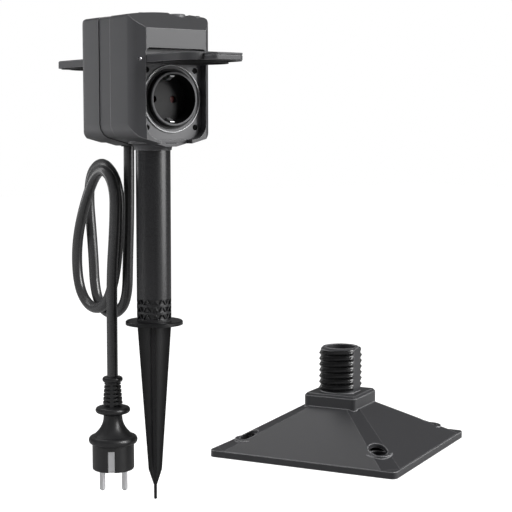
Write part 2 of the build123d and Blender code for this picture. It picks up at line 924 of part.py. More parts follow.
with BuildPart() as cord_clamp:
    with BuildSketch(level_plane(clamp_z)):
        with Locations((0, cord_y)):
            Circle(clamp_diameter / 2)
            Circle(cord_diameter / 2 + running_gap, mode=Mode.SUBTRACT)
    extrude(amount=clamp_height)
save(cord_clamp.part, "cord_clamp")

# Middle line of the cord: corners of its runs, from the clamp to the top of the plug
cord_points = [
    (0, cord_y, clamp_z + clamp_height),
    (0, cord_y, 100),
    (-0.5, 41.5, 52),
    (-0.5, 43, 17),
    (-1, 59, 2),
    (-1.5, 81, 1),
    (-2, 97, 16),
    (-2, 99.5, 56),
    (-3, 107, 117),
    (-8, 71.5, 137.5),
    (-11.5, 36, 117),
    (-12, 36.5, 77),
    (-12, 43, 38),
    (-12.5, 58, 10),
    (-12.5, 85, 4),
    (-13, 107, 20),
    (-13.5, 110, 58),
    (-15.5, 90, 98),
    (-19.5, 56, 132.5),
    (-22.5, 24, 119),
    (-22.5, 25.5, 80),
    (-22.5, 31, 42),
    (plug_x, plug_y, 2),
    (plug_x, plug_y, plug_top),
]


# Bend radius at each inner corner, from the shorter run beside it and the turn
def bend_radii(points):
    radii = []
    for before, corner, after in zip(points, points[1:], points[2:]):
        first = Vector(*corner) - Vector(*before)
        second = Vector(*after) - Vector(*corner)
        half_turn = math.radians(first.get_angle(second)) / 2
        shorter = min(first.length, second.length)
        radii.append(bend_share * shorter / math.tan(half_turn))
    return radii


def run_middle(points, index):
    return tuple((Vector(*points[index]) + Vector(*points[index + 1])) * 0.5)


# Round cord along a part of the runs, with the bends of the whole cord
def cord_piece(points, radii):
    with BuildPart() as cord:
        with BuildLine() as route:
            FilletPolyline(*points, radius=radii)
        with BuildSketch(Plane(origin=route.line @ 0, z_dir=route.line % 0)):
            Circle(cord_diameter / 2)
        sweep()
    return cord.part, sum(edge.length for edge in route.edges())


cord_radii = bend_radii(cord_points)
first_cut = run_middle(cord_points, drop_end)
second_cut = run_middle(cord_points, loops_end)
cord_routes = {
    "cord_drop": (cord_points[: drop_end + 1] + [first_cut], cord_radii[:drop_end]),
    "cord_loops": (
        [first_cut] + cord_points[drop_end + 1 : loops_end + 1] + [second_cut],
        cord_radii[drop_end:loops_end],
    ),
    "cord_tail": ([second_cut] + cord_points[loops_end + 1 :], cord_radii[loops_end:]),
}
print("cord bend radii", [round(value, 1) for value in cord_radii])
for cord_name, (route_points, route_radii) in cord_routes.items():
    cord_solid, cord_length = cord_piece(route_points, route_radii)
    swept = math.pi * (cord_diameter / 2) ** 2 * cord_length
    print(cord_name, "length", round(cord_length, 1), "volume share", cord_solid.volume / swept)
    save(cord_solid, cord_name)

# Plug: turned body with a ribbed relief, a grip, a neck and a wide flange
plug_place = Location((plug_x, plug_y, 0), (0, 0, plug_turn))
relief_pitch = relief_length / relief_ribs
relief_z = plug_top - plug_ring_height
grip_z = relief_z - relief_length
neck_z = grip_z - grip_height
shoulder_z = neck_z - neck_length
body_z = shoulder_z - shoulder_length
nose_z = body_z - body_height
plug_end = nose_z - nose_length
plug_profile = [
    (0, plug_top),
    (plug_ring_diameter / 2, plug_top),
    (plug_ring_diameter / 2, relief_z),
]
for rib in range(relief_ribs):
    share = rib / (relief_ribs - 1)
    rib_radius = (relief_top_diameter * (1 - share) + relief_low_diameter * share) / 2
    rib_z = relief_z - rib * relief_pitch
    groove_end = rib_z - relief_pitch + relief_rib_height
    plug_profile.append((rib_radius - relief_rib_depth, rib_z))
    plug_profile.append((rib_radius - relief_rib_depth, groove_end))
    plug_profile.append((rib_radius, groove_end))
    plug_profile.append((rib_radius, rib_z - relief_pitch))
plug_profile += [
    (grip_diameter / 2, grip_z),
    (grip_diameter / 2, neck_z),
    (neck_diameter / 2, neck_z),
    (neck_diameter / 2, shoulder_z),
    (body_diameter / 2, body_z),
    (body_diameter / 2, nose_z),
    (nose_diameter / 2, nose_z),
    (nose_diameter / 2, plug_end),
    (0, plug_end),
]
strip_y = nose_diameter / 2 - earth_slot_depth + earth_strip_thickness / 2
with BuildPart() as plug_body:
    with BuildSketch(Plane.XZ):
        with BuildLine():
            Polyline(*plug_profile, close=True)
        make_face()
    revolve(axis=Axis.Z)
    circles = plug_body.edges().filter_by(GeomType.CIRCLE)
    wide = circles.filter_by(lambda edge: edge.radius > plug_ring_diameter / 2 + plug_rounding)
    rims = wide.filter_by(lambda edge: abs(edge.radius - nose_diameter / 2) > plug_rounding)
    chamfer(rims, length=plug_rounding)
    with BuildSketch(level_plane(plug_end)):
        with GridLocations(1, nose_diameter - earth_slot_depth, 1, 2):
            Rectangle(earth_slot_width, earth_slot_depth)
    extrude(amount=nose_length, mode=Mode.SUBTRACT)
save(plug_body.part.moved(plug_place), "plug_body")

with BuildPart() as plug_earth_strips:
    with BuildSketch(level_plane(plug_end + earth_strip_thickness)):
        with GridLocations(1, 2 * strip_y, 1, 2):
            Rectangle(earth_slot_width - 2 * running_gap, earth_strip_thickness)
    extrude(amount=nose_length - earth_strip_thickness)
save(plug_earth_strips.part.moved(plug_place), "plug_earth_strips")

with BuildPart() as plug_pins:
    with BuildSketch(level_plane(plug_end)):
        with GridLocations(pin_pitch, 1, 2, 1):
            Circle(plug_pin_diameter / 2)
    extrude(amount=-plug_pin_length)
    chamfer(plug_pins.edges().group_by(Axis.Z)[0], length=plug_pin_round)
save(plug_pins.part.moved(plug_place), "plug_pins")

# Pole: tube with a spigot at the top and three rows of three-cornered pockets at the foot
pole_bottom = flange_thickness + seal_ring_thickness
truss_period = math.pi * pole_diameter / truss_periods
pocket_half = truss_period / 2 - truss_strut


# One upright or hanging pocket of the truss band, on the side that faces the front
def truss_pocket(level, upright):
    foot = level if upright else level + truss_row_height
    tip = level + truss_row_height if upright else level
    with BuildPart() as pocket:
        with BuildSketch(facing_plane(-pole_diameter / 2 + truss_depth)):
            with BuildLine():
                Polyline((-pocket_half, foot), (pocket_half, foot), (0, tip), close=True)
            make_face()
        extrude(amount=2 * truss_depth)
    return pocket.part


pockets = []
for row in range(truss_rows):
    row_level = flange_thickness + truss_first_row + row * truss_row_pitch
    for upright in (True, False):
        pocket = truss_pocket(row_level, upright)
        for period in range(truss_periods):
            turn = 360 / truss_periods * (period if upright else period + 0.5)
            pockets.append(pocket.rotate(Axis.Z, turn))

with BuildPart() as pole:
    with BuildSketch(level_plane(pole_bottom)):
        Circle(pole_diameter / 2)
    extrude(amount=collar_bottom - pole_bottom)
    with BuildSketch(level_plane(collar_bottom)):
        Circle(spigot_diameter / 2)
    extrude(amount=spigot_length)
    with BuildSketch(level_plane(pole_bottom)):
        Circle(thread_middle / 2 + loose_gap)
    extrude(amount=pole_length + spigot_length, mode=Mode.SUBTRACT)
    with BuildSketch(Plane.YZ):
        with Locations((0, collar_bottom + cross_pin_level)):
            Circle(cross_pin_diameter / 2)
    extrude(amount=pole_diameter / 2, both=True, mode=Mode.SUBTRACT)
    add(pockets, mode=Mode.SUBTRACT)
save(pole.part, "pole")

with BuildPart() as pole_pin:
    with BuildSketch(Plane.YZ):
        with Locations((0, collar_bottom + cross_pin_level)):
            Circle(cross_pin_diameter / 2)
    extrude(amount=cross_pin_length / 2, both=True)
save(pole_pin.part, "pole_pin")

with BuildPart() as spike_seal:
    with BuildSketch(level_plane(flange_thickness)):
        Circle(pole_diameter / 2 + running_gap)
        Circle(thread_middle / 2 + loose_gap, mode=Mode.SUBTRACT)
    extrude(amount=seal_ring_thickness)
save(spike_seal.part, "spike_seal")

# Ground spike: flange, threaded stud and four hollow-flanked fins ending in a pin
spike_sections = [
    (0, spike_top_width, fin_thickness, fin_core),
    (-spike_taper_length, spike_low_width, fin_low_thickness, fin_low_core),
    (
        -spike_taper_length - spike_point_length,
        spike_end_width,
        fin_end_thickness,
        fin_end_core,
    ),
]
with BuildPart() as ground_spike:
    for level, width, thickness, core in spike_sections:
        with BuildSketch(level_plane(level)):
            add(fin_section(width, thickness, core).rotate(Axis.Z, fin_turn))
    loft(ruled=True)
    with BuildSketch(level_plane(-spike_taper_length - spike_point_length)):
        Circle(spike_pin_diameter / 2)
    extrude(amount=-spike_pin_length)
    chamfer(ground_spike.edges().group_by(Axis.Z)[0], length=spike_pin_diameter / 4)
    with BuildSketch(level_plane(0)):
        Circle(flange_diameter / 2)
    extrude(amount=flange_thickness)
    chamfer(ground_spike.faces().sort_by(Axis.Z)[-1].edges(), length=flange_rounding)
    add(threaded_stud(flange_thickness))
save(ground_spike.part, "ground_spike")


# Square section of the base with its corners cut off
def base_section(side, corner):
    with BuildSketch() as section:
        Rectangle(side, side)
        chamfer(section.vertices(), length=corner)
    return section.sketch


# Pyramid of the base, drawn in by the wall for its hollow underside
def base_pyramid(inset):
    with BuildPart() as pyramid:
        low_side = base_side - 2 * base_shoulder - 2 * inset
        with BuildSketch(level_plane(base_rim)):
            add(base_section(low_side, base_hip_chamfer))
        with BuildSketch(level_plane(base_rim + base_pyramid_height - inset)):
            add(base_section(base_block_side + 2 * base_shoulder, base_block_chamfer))
        loft(ruled=True)
    return pyramid.part


# Loose screw-down base with the same stud
base_top = base_rim + base_pyramid_height + base_block_height
base_hole_half = base_pitch_circle / 2 * math.sin(math.radians(45))
with BuildPart() as mounting_base:
    with BuildSketch(level_plane(0)):
        RectangleRounded(base_side, base_side, base_corner_radius)
    extrude(amount=base_rim)
    add(base_pyramid(0))
    with BuildSketch(level_plane(base_rim)):
        RectangleRounded(base_block_side, base_block_side, base_block_radius)
    extrude(amount=base_pyramid_height + base_block_height)
    chamfer(mounting_base.faces().sort_by(Axis.Z)[-1].edges(), length=base_block_rounding)
    # Hollow underside
    with BuildSketch(level_plane(0)):
        RectangleRounded(
            base_side - 2 * base_wall, base_side - 2 * base_wall, base_corner_radius
        )
    extrude(amount=base_rim - base_wall + base_shoulder, mode=Mode.SUBTRACT)
    add(base_pyramid(base_wall), mode=Mode.SUBTRACT)
    # Ribs and posts inside it
    with BuildSketch(level_plane(0)):
        Rectangle(base_side - base_wall, base_rib)
        Rectangle(base_rib, base_side - base_wall)
        Circle(stud_bore / 2 + base_wall)
    extrude(amount=base_rim)
    with BuildSketch(level_plane(0)):
        with GridLocations(2 * base_hole_half, 2 * base_hole_half, 2, 2):
            Circle(base_access_hole / 2 + base_rib)
    extrude(amount=base_seat + base_wall)
    with BuildSketch(level_plane(0)):
        with GridLocations(2 * base_hole_half, 2 * base_hole_half, 2, 2):
            Circle(base_screw_hole / 2)
    extrude(amount=base_top, mode=Mode.SUBTRACT)
    with BuildSketch(level_plane(base_seat)):
        with GridLocations(2 * base_hole_half, 2 * base_hole_half, 2, 2):
            Circle(base_access_hole / 2)
    extrude(amount=base_top, mode=Mode.SUBTRACT)
    with BuildSketch(level_plane(0)):
        Circle(stud_bore / 2)
    extrude(amount=base_top, mode=Mode.SUBTRACT)
    add(threaded_stud(base_top))
save(
    mounting_base.part.moved(Location((base_x, base_y, 0), (0, 0, base_turn))),
    "mounting_base",
)
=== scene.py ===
# Smart garden socket spike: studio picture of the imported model, in metres
import json
import math
import bmesh
import bpy
import numpy as np
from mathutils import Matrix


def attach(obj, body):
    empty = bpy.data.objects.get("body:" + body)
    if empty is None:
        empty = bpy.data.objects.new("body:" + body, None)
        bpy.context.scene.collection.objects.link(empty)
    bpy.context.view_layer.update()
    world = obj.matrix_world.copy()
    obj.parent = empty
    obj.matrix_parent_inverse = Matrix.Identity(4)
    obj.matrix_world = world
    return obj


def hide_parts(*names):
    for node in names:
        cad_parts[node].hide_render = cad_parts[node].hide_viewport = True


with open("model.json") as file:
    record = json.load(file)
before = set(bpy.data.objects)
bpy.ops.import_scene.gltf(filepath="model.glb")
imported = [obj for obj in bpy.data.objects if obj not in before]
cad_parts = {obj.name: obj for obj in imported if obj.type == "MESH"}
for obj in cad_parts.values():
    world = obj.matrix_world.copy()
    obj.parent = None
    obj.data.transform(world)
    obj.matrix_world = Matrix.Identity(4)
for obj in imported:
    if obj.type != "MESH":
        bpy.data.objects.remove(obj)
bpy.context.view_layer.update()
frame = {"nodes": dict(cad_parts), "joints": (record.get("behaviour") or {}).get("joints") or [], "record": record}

mm = 0.001  # the pieces below are written in millimetres
mergeGap = 0.002  # points of a seam or a pole that lie closer than this become one
node = frame["nodes"]
rootBody = "socket_spike"
scene = bpy.context.scene
scene.view_settings.view_transform = "Standard"

# the places that the frame gives: mounts and the axes of the joints that turn
mountAt = {mount["name"]: np.array(mount["pos_m"]) / mm for mount in frame["record"]["mounts"]}
hingeAt = {joint["name"]: np.array(joint["pos_m"]) / mm for joint in frame["joints"]
           if joint["type"] == "hinge"}


def linear(hexColour):
    # sRGB hex to the linear values that the shader sockets take
    code = hexColour.lstrip("#")
    parts = np.array([int(code[i:i + 2], 16) for i in (0, 2, 4)]) / 255
    low = parts / 12.92
    high = ((parts + 0.055) / 1.055) ** 2.4
    return tuple(np.where(parts <= 0.04045, low, high)) + (1.0,)


def addNode(tree, kind, settings=None, values=None, links=None):
    # one shader node: its properties, its socket values, and what feeds its sockets
    made = tree.nodes.new(kind)
    for name, value in (settings or {}).items():
        setattr(made, name, value)
    for socket, value in (values or {}).items():
        made.inputs[socket].default_value = value
    for socket, source in (links or {}).items():
        tree.links.new(source, made.inputs[socket])
    return made


def emptyTree(block):
    # the node tree of a new material or world, without the nodes that it starts with
    block.use_nodes = True
    block.node_tree.nodes.clear()
    return block.node_tree


# camera: seen from the front left and a little above, with a long lens; angles in degrees
cameraLook = {"lens": 95.0, "sensor": 36.0, "location": (-0.5905, -0.9578, 0.1653),
              "turn": -36.0, "pitch": 5.5}
cameraData = bpy.data.cameras.new("studioCamera")
cameraData.lens = cameraLook["lens"]
cameraData.sensor_width = cameraLook["sensor"]
camera = bpy.data.objects.new("studioCamera", cameraData)
camera.location = cameraLook["location"]
camera.rotation_euler = (
    math.radians(90 - cameraLook["pitch"]), 0, math.radians(cameraLook["turn"]))
scene.collection.objects.link(camera)
scene.camera = camera
print("camera placed")


def gridMesh(name, grid, sharpAngle=None):
    # quads between neighbouring points of a rows x columns x 3 grid of millimetres, with the
    # seam and the poles merged and every face turned outwards
    rows, columns = grid.shape[:2]
    index = np.arange(rows * columns).reshape(rows, columns)
    quads = np.stack([index[:-1, :-1], index[:-1, 1:], index[1:, 1:], index[1:, :-1]], -1)
    mesh = bpy.data.meshes.new(name)
    mesh.from_pydata((grid.reshape(-1, 3) * mm).tolist(), [], quads.reshape(-1, 4).tolist())
    work = bmesh.new()
    work.from_mesh(mesh)
    bmesh.ops.remove_doubles(work, verts=work.verts, dist=mergeGap * mm)
    bmesh.ops.recalc_face_normals(work, faces=work.faces)
    work.to_mesh(mesh)
    work.free()
    mesh.polygons.foreach_set("use_smooth", np.ones(len(mesh.polygons), dtype=bool))
    if sharpAngle:
        mesh.set_sharp_from_angle(angle=math.radians(sharpAngle))
    made = bpy.data.objects.new(name, mesh)
    scene.collection.objects.link(made)
    return made


# plug: moulded body with a windowed relief, a grip disc, a flared neck and four grooves;
# levels are heights, a half is half a thickness, and a reach is how far a rim curves out
plugLook = {
    "face": mountAt["plug_face"], "turn": -36.0, "top": -47.0,
    "mouthRadius": 4.4, "mouthDepth": 0.3,
    "beadRadius": 8.7, "beadHalf": 2.3, "beadReach": 2.0,
    "reliefTop": 6.9, "reliefLow": 8.5, "reliefStart": -51.6, "reliefEnd": -71.6,
    "ribs": 6, "ribShare": 0.56, "coreRadius": 5.3, "barHalfAngle": 11.0,
    "discRadius": 14.8, "discHalf": 2.7, "discReach": 2.7, "discLevel": -75.6,
    "neckRadius": 8.0, "neckStart": -80.0, "neckEnd": -97.8, "neckFlare": 2.4,
    "flangeRadius": 20.8, "flangeHalf": 3.6, "flangeReach": 3.4, "flangeLevel": -101.3,
    "noseRadius": 17.8, "grooveTop": -108.4, "endChamfer": 0.7,
    "stripHalfWidth": 3.0, "stripDepth": 3.0, "sideHalfWidth": 2.4, "sideDepth": 2.4,
    "rimPoints": 13, "neckPoints": 15, "roundPoints": 97,
    "wallStep": 0.0015, "sharpAngle": 38,
}


def roundRim(look, name, level):
    # half an ellipse that ends at its own radius: height = level + half cos f,
    # radius = radius - reach + reach sin f, for f from 0 to half a turn
    half, reach, radius = (look[name + part] for part in ("Half", "Reach", "Radius"))
    f = np.linspace(0, math.pi, look["rimPoints"])
    return np.stack([level + half * np.cos(f), radius - reach + reach * np.sin(f)], 1)


def reliefRows(look):
    # each pitch is a rib and then a gap, whose windows go in to the core; the outer radius
    # grows evenly from the top one to the low one
    start, ribs = look["reliefStart"], look["ribs"]
    length = start - look["reliefEnd"]
    share = (np.repeat(np.arange(ribs), 4)
             + np.tile([0, look["ribShare"], look["ribShare"], 1], ribs)) / ribs
    outer = look["reliefTop"] * (1 - share) + look["reliefLow"] * share
    inGap = np.tile([False, False, True, True], ribs)
    window = np.where(inGap, look["coreRadius"], outer)
    return np.column_stack([start - length * share, outer, window, np.zeros(len(share))])


def plugRows(look):
    # profile from the cord's mouth down to the face, as rows of height, radius, radius in a
    # window, and 1 where the grooves run; on the neck the radius grows from its own to the
    # flange's foot as t ** flare
    def plain(rows):
        rows = np.asarray(rows, float)
        return np.column_stack([rows, rows[:, 1], np.zeros(len(rows))])

    top, end, grooveTop = look["top"], look["face"][2], look["grooveTop"]
    nose, edge = look["noseRadius"], look["endChamfer"]
    t = np.linspace(0, 1, look["neckPoints"])
    widening = look["flangeRadius"] - look["flangeReach"] - look["neckRadius"]
    neck = np.stack([look["neckStart"] + (look["neckEnd"] - look["neckStart"]) * t,
                     look["neckRadius"] + widening * t ** look["neckFlare"]], 1)
    face = np.array([[grooveTop, nose], [end + edge, nose], [end, nose - edge], [end, 0]])
    return np.concatenate([
        plain([[top - look["mouthDepth"], 0], [top, look["mouthRadius"]]]),
        plain(roundRim(look, "bead", top - look["beadHalf"])),
        reliefRows(look),
        plain(roundRim(look, "disc", look["discLevel"])),
        plain(neck),
        plain(roundRim(look, "flange", look["flangeLevel"])),
        plain([[look["flangeLevel"] - look["flangeHalf"], nose], [grooveTop, nose]]),
        np.column_stack([face, face[:, 1], np.ones(len(face))])])


def plugSurface(look):
    # profile turned about the plug's axis; a window or groove takes the place of the radius
    # where the angle from its middle is small or large enough, and a groove's floor is flat:
    # radius = (nose radius - depth) / cos(angle from its middle)
    rows = plugRows(look)
    nose, quarter = look["noseRadius"], math.pi / 2
    stripHalf = math.asin(look["stripHalfWidth"] / nose)
    sideHalf = math.asin(look["sideHalfWidth"] / nose)
    barHalf = math.radians(look["barHalfAngle"])
    # each wall of a groove or window is the step between two angles, just before and after it
    walls = np.array([sideHalf, quarter - stripHalf, quarter - barHalf])
    walls = np.concatenate([walls, math.pi - walls])
    walls = np.concatenate([walls, walls + math.pi])
    around = np.unique(np.concatenate([
        np.linspace(0, 2 * math.pi, look["roundPoints"]),
        walls - look["wallStep"], walls + look["wallStep"]]))
    fromStrip = np.abs(np.mod(around, math.pi) - quarter)
    fromSide = quarter - fromStrip
    floor = np.where(fromStrip < stripHalf,
                     (nose - look["stripDepth"]) / np.cos(fromStrip), np.inf)
    floor = np.where(fromSide < sideHalf,
                     (nose - look["sideDepth"]) / np.cos(fromSide), floor)
    radius = np.where(fromStrip[None, :] > barHalf, rows[:, 2:3], rows[:, 1:2])
    radius = np.where(rows[:, 3:4] > 0, np.minimum(radius, floor[None, :]), radius)
    turned = around[None, :] + math.radians(look["turn"])
    return np.stack([look["face"][0] + radius * np.cos(turned),
                     look["face"][1] + radius * np.sin(turned),
                     rows[:, :1] + 0 * turned], -1)


plug = gridMesh("mouldedPlug", plugSurface(plugLook), plugLook["sharpAngle"])
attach(plug, rootBody)
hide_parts("plug_body")
print("plug made")


# cord: one smooth line through the listed points of the route
cordLook = {"diameter": 9.2, "stepsAlong": 12, "stepsRound": 6, "order": 3}
cordRoute = [
    (0, 39, 159.5), (0, 39, 100), (-0.5, 41.5, 52), (-0.5, 43, 17), (-1, 59, 2),
    (-1.5, 81, 1), (-2, 97, 16), (-2, 99.5, 56), (-3, 107, 117), (-8, 71.5, 137.5),
    (-11.5, 36, 117), (-12, 36.5, 77), (-12, 43, 38), (-12.5, 58, 10), (-12.5, 85, 4),
    (-13, 107, 20), (-13.5, 110, 58), (-15.5, 90, 98), (-19.5, 56, 132.5),
    (-22.5, 24, 119), (-22.5, 25.5, 80), (-22.5, 31, 42), (-22, 32.5, 2),
    (-22, 32.5, -47),
]
cordCurve = bpy.data.curves.new("mainsCord", "CURVE")
cordCurve.dimensions = "3D"
cordCurve.bevel_depth = 1.0  # each point's radius below is the real one
cordCurve.bevel_resolution = cordLook["stepsRound"]
cordCurve.resolution_u = cordLook["stepsAlong"]
cordCurve.use_fill_caps = True
cordLine = cordCurve.splines.new("NURBS")
cordLine.points.add(len(cordRoute) - 1)
for point, place in zip(cordLine.points, cordRoute):
    point.co = (place[0] * mm, place[1] * mm, place[2] * mm, 1)
    point.radius = cordLook["diameter"] / 2 * mm
cordLine.order_u = cordLook["order"]
cordLine.use_endpoint_u = True
cord = bpy.data.objects.new("mainsCord", cordCurve)
scene.collection.objects.link(cord)
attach(cord, rootBody)
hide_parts("cord_drop", "cord_loops", "cord_tail")
print("cord made")


# hinge pins: their ends are flush with the slanted corners of the housing
pinLook = {"radius": 1.25, "halfLength": 32.3, "endChamfer": 0.3, "roundPoints": 49,
           "sharpAngle": 35}


def turnedPin(hinge, look):
    # profile (distance along X, radius) turned about the axis of the hinge, closed at both ends
    end, edge, radius = look["halfLength"], look["endChamfer"], look["radius"]
    along = np.array([-end, -end, -end + edge, end - edge, end, end])[:, None]
    wide = np.array([0, radius - edge, radius, radius, radius - edge, 0])[:, None]
    turn = np.linspace(0, 2 * math.pi, look["roundPoints"])[None, :]
    return np.stack([hinge[0] + along + 0 * turn, hinge[1] + wide * np.cos(turn),
                     hinge[2] + wide * np.sin(turn)], -1)


pins = []
for side in ("front_", "rear_"):
    pinGrid = turnedPin(hingeAt[side + "lid_hinge"], pinLook)
    pin = gridMesh("short_" + side + "hinge_pin", pinGrid, pinLook["sharpAngle"])
    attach(pin, rootBody)
    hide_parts(side + "hinge_pin")
    pins.append(pin)
print("hinge pins made")


# thread: the ridge on the stud of the loose base, over its plain core and between its flats
basePlace = {"studFoot": mountAt["base_stud"], "turn": -63.0}
threadLook = {
    "pitch": 3.0, "core": 10.25, "crest": 11.3, "flats": 9.3, "halfWidth": 1.2,
    "start": 0.1, "end": 21.8,
    "crestCut": 0.92,  # share of the full height where the crest is blunt
    "valleyLift": 0.03, "flatGap": 0.06,  # above the core, and inside the flats
    "underCore": 0.25, "underFlats": 0.2,  # depth of the hidden underside
    "runOut": 1.2,  # radians over which each end fades
    "pointsPerTurn": 96, "pointsAcross": 17,
}


def threadRidge(place, look):
    # at turn t and offset u across the thread: height = start + pitch t / 2 pi + u, radius =
    # valley + (crest - valley) (1 - |u| / halfWidth) on the ridge and the valley beside it,
    # never further from the axis than the two flats; the section closes on a hidden underside
    # in the core, and shrinks to a point there at both ends
    turns = (look["end"] - look["start"]) / look["pitch"]
    t = np.linspace(0, 2 * math.pi * turns, int(look["pointsPerTurn"] * turns))[:, None]
    fade = np.clip(np.minimum(t, t[-1] - t) / look["runOut"], 0, 1)
    ridge = np.linspace(-0.5, 0.5, look["pointsAcross"])
    across = np.concatenate([ridge[:1], ridge, ridge[-1:], ridge[:1]])[None, :]
    under = np.isin(np.arange(across.size), [0, across.size - 2, across.size - 1])[None, :]
    u = across * look["pitch"]
    cut = look["crestCut"]
    crown = np.clip(1 - np.abs(u) / look["halfWidth"], 0, cut) / cut
    valley = look["core"] + look["valleyLift"]
    flatSide = np.maximum(np.abs(np.cos(t)), 0.01)  # kept above zero for the division
    limit = (look["flats"] - look["flatGap"]) / flatSide
    sunk = np.minimum(look["core"] - look["underCore"], limit - look["underFlats"])
    surface = np.minimum(valley + (look["crest"] - valley) * crown, limit)
    radius = np.where(under, sunk, sunk + (surface - sunk) * fade)
    around = t + math.radians(place["turn"])
    x, y, foot = place["studFoot"]
    height = foot + look["start"] + look["pitch"] * t / (2 * math.pi) + u * fade
    return np.stack([x + radius * np.cos(around), y + radius * np.sin(around), height], -1)


thread = gridMesh("baseThread", threadRidge(basePlace, threadLook))
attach(thread, rootBody)
print("thread made")


# what all the moulded plastics share; the grain of the real finish is under 0.1 mm, so it is
# drawn as coarse as it needs to show
mouldLook = {
    "cloudMm": 18, "cloudDetail": 3.0, "cloudRoughness": 0.55, "cloudShade": 0.06,
    "grainDetail": 2.0, "grainRoughness": 0.6, "grainStrength": 0.35, "glossSpread": 0.05,
    "edgeSamples": 4, "edgeStart": 0.995, "edgeFull": 0.85, "ior": 1.49,
}


def mouldedPlastic(name, colour, roughness, grainMm=0.35, grainDepth=0.04, edgeMm=0.35,
                   sheen=0.5, edgeHighlightTone=None):
    # spark-eroded mould finish: fine grain in the sheen, soft rounded edges and a faint
    # cloudiness in the tone where the resin flowed; where an edge highlight tone is given, the
    # edges are painted paler as a painted highlight, by how far the rounded normal turns from the flat one
    look = mouldLook
    material = bpy.data.materials.new(name)
    tree = emptyTree(material)
    base, spread = linear(colour), look["cloudShade"]
    darker = tuple(part * (1 - spread) for part in base[:3]) + (1.0,)
    lighter = tuple(min(1, part * (1 + spread)) for part in base[:3]) + (1.0,)
    place = addNode(tree, "ShaderNodeTexCoord")
    cloud = addNode(tree, "ShaderNodeTexNoise",
                    values={"Scale": 1 / (look["cloudMm"] * mm), "Detail": look["cloudDetail"],
                            "Roughness": look["cloudRoughness"]},
                    links={"Vector": place.outputs["Object"]})
    tone = addNode(tree, "ShaderNodeMix", {"data_type": "RGBA"}, {6: darker, 7: lighter},
                   {"Factor": cloud.outputs["Fac"]})
    grain = addNode(tree, "ShaderNodeTexNoise",
                    values={"Scale": 1 / (grainMm * mm), "Detail": look["grainDetail"],
                            "Roughness": look["grainRoughness"]},
                    links={"Vector": place.outputs["Object"]})
    edge = addNode(tree, "ShaderNodeBevel", {"samples": look["edgeSamples"]},
                   {"Radius": edgeMm * mm})
    bump = addNode(tree, "ShaderNodeBump",
                   values={"Strength": look["grainStrength"], "Distance": grainDepth * mm},
                   links={"Height": grain.outputs["Fac"], "Normal": edge.outputs["Normal"]})
    rough = addNode(tree, "ShaderNodeMapRange",
                    values={"To Min": roughness - look["glossSpread"],
                            "To Max": roughness + look["glossSpread"]},
                    links={"Value": grain.outputs["Fac"]})
    colourSource = tone.outputs[2]
    # painted highlight: the colour turns paler where the rounded normal turns from the flat one
    if edgeHighlightTone:
        flat = addNode(tree, "ShaderNodeNewGeometry")
        turn = addNode(tree, "ShaderNodeVectorMath", {"operation": "DOT_PRODUCT"},
                       links={0: edge.outputs["Normal"], 1: flat.outputs["Normal"]})
        mask = addNode(tree, "ShaderNodeMapRange",
                       values={"From Min": look["edgeStart"], "From Max": look["edgeFull"]},
                       links={"Value": turn.outputs["Value"]})
        paintedEdgeHighlight = addNode(tree, "ShaderNodeMix", {"data_type": "RGBA"},
                           {7: linear(edgeHighlightTone)},
                           {"Factor": mask.outputs["Result"], 6: colourSource})
        colourSource = paintedEdgeHighlight.outputs[2]
    shader = addNode(tree, "ShaderNodeBsdfPrincipled",
                     values={"IOR": look["ior"], "Specular IOR Level": sheen},
                     links={"Base Color": colourSource, "Roughness": rough.outputs["Result"],
                            "Normal": bump.outputs["Normal"]})
    addNode(tree, "ShaderNodeOutputMaterial", links={"Surface": shader.outputs["BSDF"]})
    return material


# the fine lines of drawn metal, drawn coarse enough to show
metalLook = {"lineMm": 0.15, "lineDetail": 2.0, "lineRoughness": 0.5, "lineStrength": 0.2,
             "lineDepth": 0.01, "glossier": 0.06, "duller": 0.08}


def turnedMetal(name, colour, roughness):
    # drawn and tumbled metal: bright, with fine lines that break the highlight a little
    look = metalLook
    material = bpy.data.materials.new(name)
    tree = emptyTree(material)
    place = addNode(tree, "ShaderNodeTexCoord")
    lines = addNode(tree, "ShaderNodeTexNoise",
                    values={"Scale": 1 / (look["lineMm"] * mm), "Detail": look["lineDetail"],
                            "Roughness": look["lineRoughness"]},
                    links={"Vector": place.outputs["Object"]})
    rough = addNode(tree, "ShaderNodeMapRange",
                    values={"To Min": roughness - look["glossier"],
                            "To Max": roughness + look["duller"]},
                    links={"Value": lines.outputs["Fac"]})
    bump = addNode(tree, "ShaderNodeBump",
                   values={"Strength": look["lineStrength"],
                           "Distance": look["lineDepth"] * mm},
                   links={"Height": lines.outputs["Fac"]})
    shader = addNode(tree, "ShaderNodeBsdfPrincipled",
                     values={"Base Color": linear(colour), "Metallic": 1.0},
                     links={"Roughness": rough.outputs["Result"],
                            "Normal": bump.outputs["Normal"]})
    addNode(tree, "ShaderNodeOutputMaterial", links={"Surface": shader.outputs["BSDF"]})
    return material


